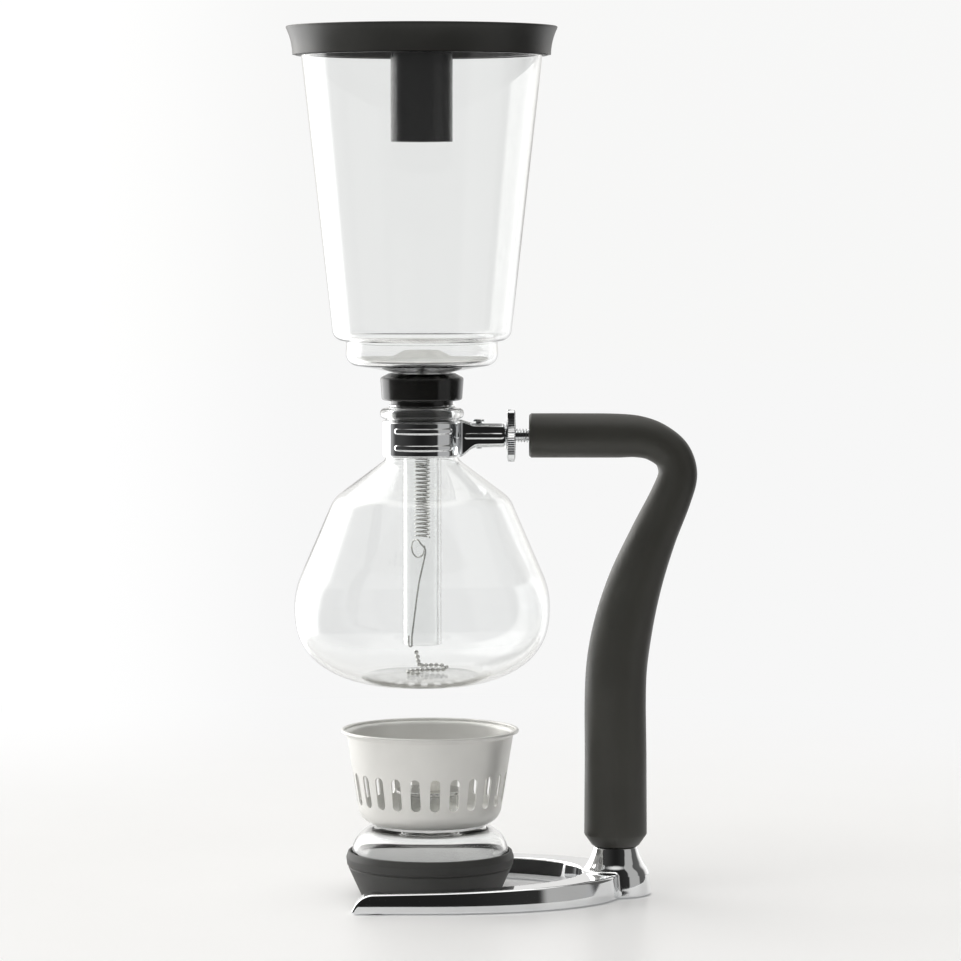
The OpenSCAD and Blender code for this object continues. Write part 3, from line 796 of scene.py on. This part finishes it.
put(make_bowl(), "upper", bowl_clear, ["upper_bowl"])

put(build("stopper", [lathe(rounded([
    [8.8, 205], [12.8, 205, 0.9], [13.95, 222.5], [13.95, 224.2, 0.4], [18.1, 224.2, 1.1], [18.8, 234.2, 1.2],
    [14.5, 236.5, 2], [11.9, 235.9, 1], [9.8, 234.9, 0.6], [8.8, 232.9]]), 128)], 50),
    "upper", stopper_rubber, ["stopper"])


def make_lid():
    """Lid: a skirt that flares upwards, a sunk top, a socket for the tube and a ring in the bowl."""
    flare_r, sunk, ring_foot = 27.5, 389.3, 378.8
    skirt = [[57.9 + flare_r * (1 - math.cos(a)), LID_FOOT + flare_r * math.sin(a)]
             for a in np.radians(np.linspace(0.8, 26, 22))]
    top = rounded([skirt[-1], [60.9, LID_TOP, 0.45], [58.6, LID_TOP, 0.5], [58.1, sunk, 0.5], [0, sunk]])[1:]
    socket = [[0, LID_CEILING], [10.4, LID_CEILING], [10.4, SOCKET_FOOT, 0.35], [13.9, SOCKET_FOOT, 0.35],
              [13.9, LID_CEILING]]
    ring = [[49.4, LID_CEILING], [49.4, ring_foot, 0.5], [51.2, ring_foot, 0.5], [51.2, LID_CEILING]]
    inside = [[56.2, LID_CEILING], [56.2, LID_FOOT, 0.3], [57.9, LID_FOOT, 0.35]]
    under = rounded(socket + ring + inside)
    return build("lid", [lathe(np.array([list(q) for q in skirt + top + under]), 192)], 40)


def gloss_socket(lid):
    """The lid's socket is glossier than the rest of it."""
    lid.data.materials.append(socket_gloss)
    for face in lid.data.polygons:
        x, y, z = face.center / MM
        if math.hypot(x - BOWL, y) < 14.5 and z < LID_CEILING - 0.1:
            face.material_index = 1


gloss_socket(put(make_lid(), "lid", lid_plastic, ["lid"]))


# ---- Filter ----

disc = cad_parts["filter_disc"]
disc.data.materials.clear()
disc.data.materials.append(steel)

put(build("filter_hub", [lathe(rounded([
    [0, 236.2], [1.2, 236.2, 0.3], [1.2, 238.4], [2.6, 238.4, 0.2], [2.6, 239.4, 0.2], [1.2, 239.4],
    [1.2, 242.2], [5, 242.2], [5, 244.8, 0.6], [0, 244.8]]), 64)]), "upper", steel, ["filter_hub"])

# The flannel lies on the disc and rises over the hub in the middle
nap = rounded([[60, 242], [30, 242.7], [14.5, 243.2, 5], [7.8, 246.6, 3], [0, 246.6]])[1:]
felt = build("filter_cloth", [lathe(wall(nap, 0.4), 128)], 60)
put(felt, "upper", cloth, ["filter_cloth"])


SPRING_FOOT, SPRING_TOP = 161.9, 237.9
WIRE_R = 0.4


def make_spring():
    turns, coil_r, rise = 42, 3.3, 1.8
    a = np.linspace(0, TAU * turns, turns * 26)
    coil = np.stack([coil_r * np.cos(a), coil_r * np.sin(a), SPRING_FOOT + rise * a / TAU], -1)
    return build("filter_spring", [wire(coil, WIRE_R, 8)], 60)


put(make_spring(), None, wire_steel, ["filter_spring"],
    ("upper", "hook", (BOWL * MM, 0, SPRING_TOP * MM), (BOWL * MM, 0, SPRING_FOOT * MM)))


def make_hook():
    """One wire: a finger ring that rises as it turns, a long leg in the tube, and a latch at its end."""
    turn, ring_r, ring_z = math.radians(-48), 4, 157
    loop = []
    for a in np.arange(20, -326, -6):
        along, across = ring_r * math.cos(math.radians(a)), 0.9 * (a + 150) / 170
        loop.append([-2.2 + along * math.cos(turn) - across * math.sin(turn),
                     along * math.sin(turn) + across * math.cos(turn),
                     ring_z + ring_r * math.sin(math.radians(a))])
    out = np.array([*on_circle(230), 0])
    bend_z, bend_r = 114.3, 1.3
    leg = smooth([loop[-1], [1.3, -3.8, ring_z], [1.2, -3.9, 154], [-1.3, -4.1, 142], [-2.9, -4.5, 130],
                  out * 6.7 + [0, 0, 117.3], out * 6.7 + [0, 0, bend_z]], 10)[1:]
    bend = [out * (8 + bend_r * math.cos(t)) + [0, 0, bend_z + bend_r * math.sin(t)]
            for t in np.radians(np.arange(195, 361, 15))]
    end = [out * 9.3 + [0, 0, 118.3]]
    return build("filter_hook", [wire(np.array(loop + leg.tolist() + bend + end), WIRE_R, 12)], 60)


put(make_hook(), "hook", wire_steel, ["filter_hook"])

# Where the bead chain lies: down from the latch and in a loose heap on the flask's floor
CHAIN = [
    [-3, -4.6, 111.2], [-2.2, -3.6, 108.6], [-1.8, -2.4, 105.6], [-1.2, -0.4, 103.4], [1, 2.6, 102.7],
    [5, 4.2, 102.6], [9, 4.6, 102.3], [11.2, 3.4, 101.2], [8.6, 2.4, 100.4], [4, 1.8, 100.4],
    [0, 0.6, 100.5], [-3.8, -1.4, 100.5], [-6.6, -4.6, 100.3], [-4.8, -7.4, 100.2], [-1.8, -8.2, 100.2]]


CHAIN_HELD, CHAIN_LYING = 111, 101     # heights where the chain is held by the hook and where it lies


def make_chain():
    """Beads at even steps along the chain's line, with a short link from each to the next."""
    bead_r, link_r, step = 1.1, 0.33, 2.5
    fine = smooth(CHAIN, 24)
    travel = np.concatenate([[0], np.cumsum(np.linalg.norm(np.diff(fine, axis=0), axis=1))])
    spots = np.arange(step / 2, travel[-1], step)
    centres = np.stack([np.interp(spots, travel, fine[:, k]) for k in range(3)], -1)
    shapes = [ball(c, bead_r, 20) for c in centres]
    for a, b in zip(centres, centres[1:]):
        shapes.append(wire([a + (b - a) * 0.3, b + (a - b) * 0.3], link_r, 8))
    return build("bead_chain", shapes, 60)


put(make_chain(), None, wire_steel, ["bead_chain"],
    ("hook", "upper", (BOWL * MM, 0, CHAIN_HELD * MM), (BOWL * MM, 0, CHAIN_LYING * MM)))


# ---- Burner ----

RECESS = 15.5                      # floor of the base's recess, which the burner's glass stands in
GLASS_FOOT = 15.8

put(build("burner_base", [lathe(rounded([
    [0, 0], [31.2, 0, 0.9], [37.0, 12.7, 0.15], [36.7, 13.3, 0.2], [37.6, 14.0, 0.6], [38, 17.2, 1.4],
    [36.9, 20.4, 0.7], [35.9, 20, 0.2], [35.9, RECESS], [0, RECESS]]))], 40, BURNER),
    "burner", burner_rubber, ["burner_base"])


def make_burner_glass():
    """Squat fuel bottle with a short neck and a thick floor."""
    outside = [[14.2, 46], [14.2, 32.6, 1], [35.5, 30.2, 13], [35.5, GLASS_FOOT, 2.5], [0, GLASS_FOOT]]
    inside = [[0, 18.5], [33.5, 18.5, 0.8], [33.5, 28.35, 10], [12.2, 30.75, 3]]
    outline = rounded([[12.2, 46]] + outside + inside, 5)
    return build("burner_glass", [lathe(outline)], 60, BURNER)


put(make_burner_glass(), "burner", thick_clear, ["burner_glass"])

put(build("wick_holder", [lathe(rounded([
    [5.1, 38], [11.8, 38, 0.3], [11.8, 46.3], [15.4, 46.3, 0.3], [15.4, 47.8, 0.4], [5.1, 47.8, 0.3]]), 96)],
    40, BURNER), "wick_set", steel, ["wick_holder"])


def make_wick():
    """Braided cotton: two sets of strands wind up the wick in opposite ways."""
    foot, wick_r, strand_depth, strands, winding = 33, 4.72, 0.14, 8, 2.2
    a = around(96)
    rings = [level_ring(0, foot, a)]
    for z in np.arange(foot, 57.31, 0.35):
        weave = np.sin(a * strands + z * winding) * np.sin(a * strands - z * winding)
        rings.append(level_ring(wick_r + strand_depth * weave, z, a))
    rings += [level_ring(4.3, 57.45, a), level_ring(0, 57.5, a)]
    return build("wick", [grid(rings)], 60, BURNER)


put(make_wick(), "wick_set", cotton, ["wick"])


# Wind guard: its wall is a cone through two points of (r, z), with slots in the zone between two heights
GUARD_FOOT, GUARD_RIM = (31.2, 32.6), (37.7, 73)
SHEET = 0.8
SLOTS, SLOT_HALF = 24, 2.25
SLOT_LOW, SLOT_HIGH = 41.8, 56.6
ZONE_LOW, ZONE_HIGH = 40.8, 57.6
FIRST_SLOT = math.radians(-3)
CAP_STEPS, SIDE_STEPS, ROWS = 10, 14, 5


def guard_r(z, depth):
    """Radius of the guard's wall at height z, this deep in from its outer surface."""
    across, up = unit(np.array([GUARD_RIM[0] - GUARD_FOOT[0], GUARD_RIM[1] - GUARD_FOOT[1]]))
    return GUARD_FOOT[0] + (z - GUARD_FOOT[1]) * across / up - depth / up


def slot_angle(s):
    return TAU * (s + 0.5) / SLOTS + FIRST_SLOT


def slot_and_sector():
    """Matching points round one slot (across, z) and round its sector of the zone (angle, z)."""
    w, reach = SLOT_HALF, math.pi / SLOTS
    top, bottom = SLOT_HIGH - w, SLOT_LOW + w
    hole, rim = [], []
    for k in range(CAP_STEPS):          # the upper end, from right to left
        t = math.pi * k / CAP_STEPS
        hole.append((w * math.cos(t), top + w * math.sin(t)))
        rim.append((reach * (1 - 2 * k / CAP_STEPS), ZONE_HIGH))
    for k in range(SIDE_STEPS):         # the left side, downwards
        t = k / SIDE_STEPS
        hole.append((-w, top + (bottom - top) * t))
        rim.append((-reach, ZONE_HIGH + (ZONE_LOW - ZONE_HIGH) * t))
    for k in range(CAP_STEPS):          # the lower end, from left to right
        t = math.pi + math.pi * k / CAP_STEPS
        hole.append((w * math.cos(t), bottom + w * math.sin(t)))
        rim.append((-reach * (1 - 2 * k / CAP_STEPS), ZONE_LOW))
    for k in range(SIDE_STEPS):         # the right side, upwards
        t = k / SIDE_STEPS
        hole.append((w, bottom + (top - bottom) * t))
        rim.append((reach, ZONE_LOW + (ZONE_HIGH - ZONE_LOW) * t))
    return hole, rim


def guard_point(z, depth, angle):
    r = guard_r(z, depth)
    return [r * math.cos(angle), r * math.sin(angle), z]


def sector_face(hole, rim, turn, depth):
    """One surface of a sector's wall, as rings of points from the slot's edge to the sector's edge."""
    points = []
    for k in range(ROWS + 1):
        t = (k / ROWS) ** 1.3
        for (across, hole_z), (sector_angle, rim_z) in zip(hole, rim):
            angle = math.asin(across / guard_r(hole_z, depth)) * (1 - t) + sector_angle * t
            points.append(guard_point(hole_z + (rim_z - hole_z) * t, depth, turn + angle))
    return points


def make_guard():
    """Closed sheet metal shell: a slotted zone of equal sectors, and plain zones above and below it."""
    hole, rim = slot_and_sector()
    m = len(hole)
    face_quads = [(k * m + j, (k + 1) * m + j, (k + 1) * m + (j + 1) % m, k * m + (j + 1) % m)
                  for k in range(ROWS) for j in range(m)]
    cut_quads = [(j, (j + 1) % m, m + (j + 1) % m, m + j) for j in range(m)]
    points, faces = [], []

    def add(more, quads):
        base = sum(len(q) for q in points)
        points.append(np.array(more))
        faces.extend(tuple(i + base for i in q) for q in quads)

    for s in range(SLOTS):
        turn = slot_angle(s)
        add(sector_face(hole, rim, turn, 0.0), face_quads)
        add(sector_face(hole, rim, turn, SHEET), [q[::-1] for q in face_quads])
        add([guard_point(z, depth, turn + math.asin(across / guard_r(z, depth)))
             for depth in (0.0, SHEET) for across, z in hole], cut_quads)

    # The plain zones have the slotted zone's divisions, so that their edges meet
    a = np.concatenate([[slot_angle(s) - math.pi / SLOTS * (1 - 2 * k / CAP_STEPS)
                         for k in range(CAP_STEPS)] for s in range(SLOTS)])

    def strip(line):
        verts, quads = grid([level_ring(r, z, a) for r, z in line])
        add(verts, [q[::-1] for q in quads])

    outer = np.array(rounded([[39.6, 74.3], [GUARD_RIM[0], GUARD_RIM[1], 1.5],
                              [GUARD_FOOT[0], GUARD_FOOT[1], 8], [16.4, GUARD_FOOT[1]]], 5))
    inner = beside(outer, -SHEET)
    roll = [[39.4 + 0.8 * math.cos(t), 74.7 + 0.8 * math.sin(t)] for t in np.radians(np.arange(-60, 225, 15))]
    above_outside = [q for q in outer if q[1] > ZONE_HIGH][::-1][:-1]
    above_inside = [q for q in inner if q[1] > ZONE_HIGH and q[0] < 38.6]
    strip([(guard_r(ZONE_HIGH, 0), ZONE_HIGH)] + above_outside + roll + above_inside
          + [(guard_r(ZONE_HIGH, SHEET), ZONE_HIGH)])
    below_outside = [q for q in outer if q[1] < ZONE_LOW][::-1]
    below_inside = [q for q in inner if q[1] < ZONE_LOW]
    strip([(guard_r(ZONE_LOW, SHEET), ZONE_LOW)] + below_inside + [(16.1, 33.0)] + below_outside
          + [(guard_r(ZONE_LOW, 0), ZONE_LOW)])
    return build("wind_guard", [(np.concatenate(points), faces)], 48, BURNER)


put(make_guard(), "guard", guard_metal, ["wind_guard"])


# ---- Studio ----

scene = bpy.context.scene
scene.view_settings.view_transform = "Standard"
scene.cycles.max_bounces = 28
scene.cycles.transmission_bounces = 24
scene.cycles.glossy_bounces = 12
scene.cycles.diffuse_bounces = 5
scene.cycles.caustics_refractive = True
scene.cycles.caustics_reflective = True
scene.cycles.blur_glossy = 0.0
scene.cycles.transparent_max_bounces = 16
scene.cycles.sample_clamp_indirect = 6.0

BACK = 0.93                        # brightness of the plain backdrop
LEFT_GLOW = 0.08                   # how much brighter it is at the left
WARM, WHITE = (1.0, 0.99, 0.97, 1), (1.0, 1.0, 0.995, 1)

# Brightness of the room by direction in degrees: 0 in front, 90 right, -90 left and 180 behind.
# Reflections see a dark front, a bright window at the left, a dim one at the right and white behind.
ROOM = [(-180, 0.85), (-162, 0.9), (-150, 2.8), (-110, 3.4), (-100, 0.4), (-80, 0.06), (0, 0.015),
        (44, 0.03), (50, 0.45), (84, 0.45), (90, 0.1), (116, 0.12), (134, 0.9), (150, 1.3), (162, 0.85),
        (180, 0.85)]
# Matte surfaces gather soft light from the left and the front left.
DAYLIGHT = [(-180, 0.5), (-145, 1.4), (-60, 1.7), (-14, 0.9), (20, 0.18), (100, 0.12), (150, 0.3),
            (180, 0.5)]


def by_direction(t, x, y, room):
    turn = t.math("ADD", t.math("DIVIDE", t.math("ARCTAN2", x, t.math("MULTIPLY", y, -1.0)), TAU), 0.5)
    most = max(value for _, value in room)
    stops = [(degrees / 360 + 0.5, value / most) for degrees, value in room]
    return t.math("MULTIPLY", t.ramp(turn, stops), most)


def seen_plain(t):
    """How much of a ray sees the plain backdrop, and whether a matte surface gathers it.

    The camera sees the backdrop, straight or through clear glass. After a reflection only a share
    of it is plain and the rest is the room, so that things inside the glass keep their contrast.
    """
    share = 0.3
    path = t.outputs("ShaderNodeLightPath")
    plain = t.math("MAXIMUM", path["Is Camera Ray"], path["Is Transmission Ray"])
    first = t.math("LESS_THAN", path["Glossy Depth"], 0.5)
    return t.math("MULTIPLY", plain, t.math("MULTIPLY_ADD", first, 1 - share, share)), path["Is Diffuse Ray"]


def light_from(t, x, y, gathered):
    """What reflections see, or what matte surfaces gather."""
    return t.blend(gathered, by_direction(t, x, y, ROOM), by_direction(t, x, y, DAYLIGHT))


def make_world():
    world = bpy.data.worlds.new("studio")
    scene.world = world
    world.use_nodes = True
    t = Tree(world.node_tree)
    x, y, z = t.xyz(t.add("ShaderNodeTexCoord"))
    seen, gathered = seen_plain(t)
    lamp = 1.6
    overhead = t.between(z, 0.8, 0.93)
    light = t.blend(overhead, light_from(t, x, y, gathered), lamp)
    # What is seen gets a little brighter upwards and to the left
    level = t.math("ADD", t.between(z, -0.02, 0.2, BACK, 0.95), t.between(x, -0.035, -0.1, 0.0, LEFT_GLOW))
    # Glass edges bend the view far to the sides, where the room is a little darker
    bent = t.outputs("ShaderNodeLightPath")["Is Transmission Ray"]
    side = t.between(t.math("ABSOLUTE", x), 0.5, 0.9, 0.0, 0.35)
    level = t.math("MULTIPLY", level, t.math("SUBTRACT", 1.0, t.math("MULTIPLY", bent, side)))
    shader = t.add("ShaderNodeBackground", {"Color": t.mix(seen, WARM, WHITE),
                                            "Strength": t.blend(seen, light, level)})
    world.cycles.sampling_method = "NONE"
    t.finish("ShaderNodeOutputWorld", shader)


make_world()


def floor_mesh():
    """Flat disc in rings, so that its shading is even far away."""
    sides = 96
    verts = [(0, 0, 0)] + [(r * math.cos(a), r * math.sin(a), 0) for r in (0.5, 1.5, 6.0)
                           for a in around(sides)]
    faces = [(0, 1 + k, 1 + (k + 1) % sides) for k in range(sides)]
    for b in (1, 1 + sides):
        for k in range(sides):
            after = (k + 1) % sides
            faces.append((b + k, b + sides + k, b + sides + after, b + after))
    mesh = bpy.data.meshes.new("floor")
    mesh.from_pydata(verts, [], faces)
    return mesh


def floor_white():
    """White paper near the object that turns into the glowing backdrop farther away.

    What is seen turns slowly. What a reflection sees stays paper only under the object.
    """
    m, t = new_material("floor_white")
    place = t.add("ShaderNodeTexCoord", out=OBJECT_PLACE)
    x, y, _ = t.xyz(place)
    distance = t.math("SQRT", t.math("ADD", t.math("POWER", x, 2.0), t.math("POWER", y, 2.0)))
    seen, gathered = seen_plain(t)
    shown = t.math("GREATER_THAN", seen, 0.5)
    far = t.blend(shown, t.between(distance, 0.38, 0.46), t.between(distance, 0.2, 0.75))
    camera_way = 2.0                    # about how far the camera stands from the object, in metres
    aside = t.math("DIVIDE", x, t.math("ADD", distance, camera_way))
    level = t.between(aside, -0.035, -0.1, BACK, BACK + LEFT_GLOW)
    glow = t.blend(seen, light_from(t, x, y, gathered), level)
    noise = t.add("ShaderNodeTexNoise", {"Vector": place, "Scale": 9.0, "Detail": 2.0})
    near = t.add("ShaderNodeBsdfPrincipled", {
        "Base Color": t.mix(noise, grey(0.86), grey(0.9)), "Roughness": 0.35, "Specular IOR Level": 0.2,
        "Emission Color": grey(1), "Emission Strength": 0.06})
    glowing = t.add("ShaderNodeEmission", {"Color": grey(1), "Strength": glow})
    t.finish("ShaderNodeOutputMaterial", t.add("ShaderNodeMixShader", {0: far, 1: near, 2: glowing}))
    return m


def make_floor():
    mesh = floor_mesh()
    mesh.materials.append(floor_white())
    floor = bpy.data.objects.new("floor", mesh)
    scene.collection.objects.link(floor)


make_floor()

camera = bpy.data.objects.new("camera", bpy.data.cameras.new("camera"))
camera.data.lens = 159
camera.data.sensor_width = 36
camera.data.clip_start, camera.data.clip_end = 0.05, 50
camera.location = (-0.0052, -1.908, 0.3186)
looking_down = 3.92
camera.rotation_euler = (math.radians(90 - looking_down), 0, 0)
scene.collection.objects.link(camera)
scene.camera = camera
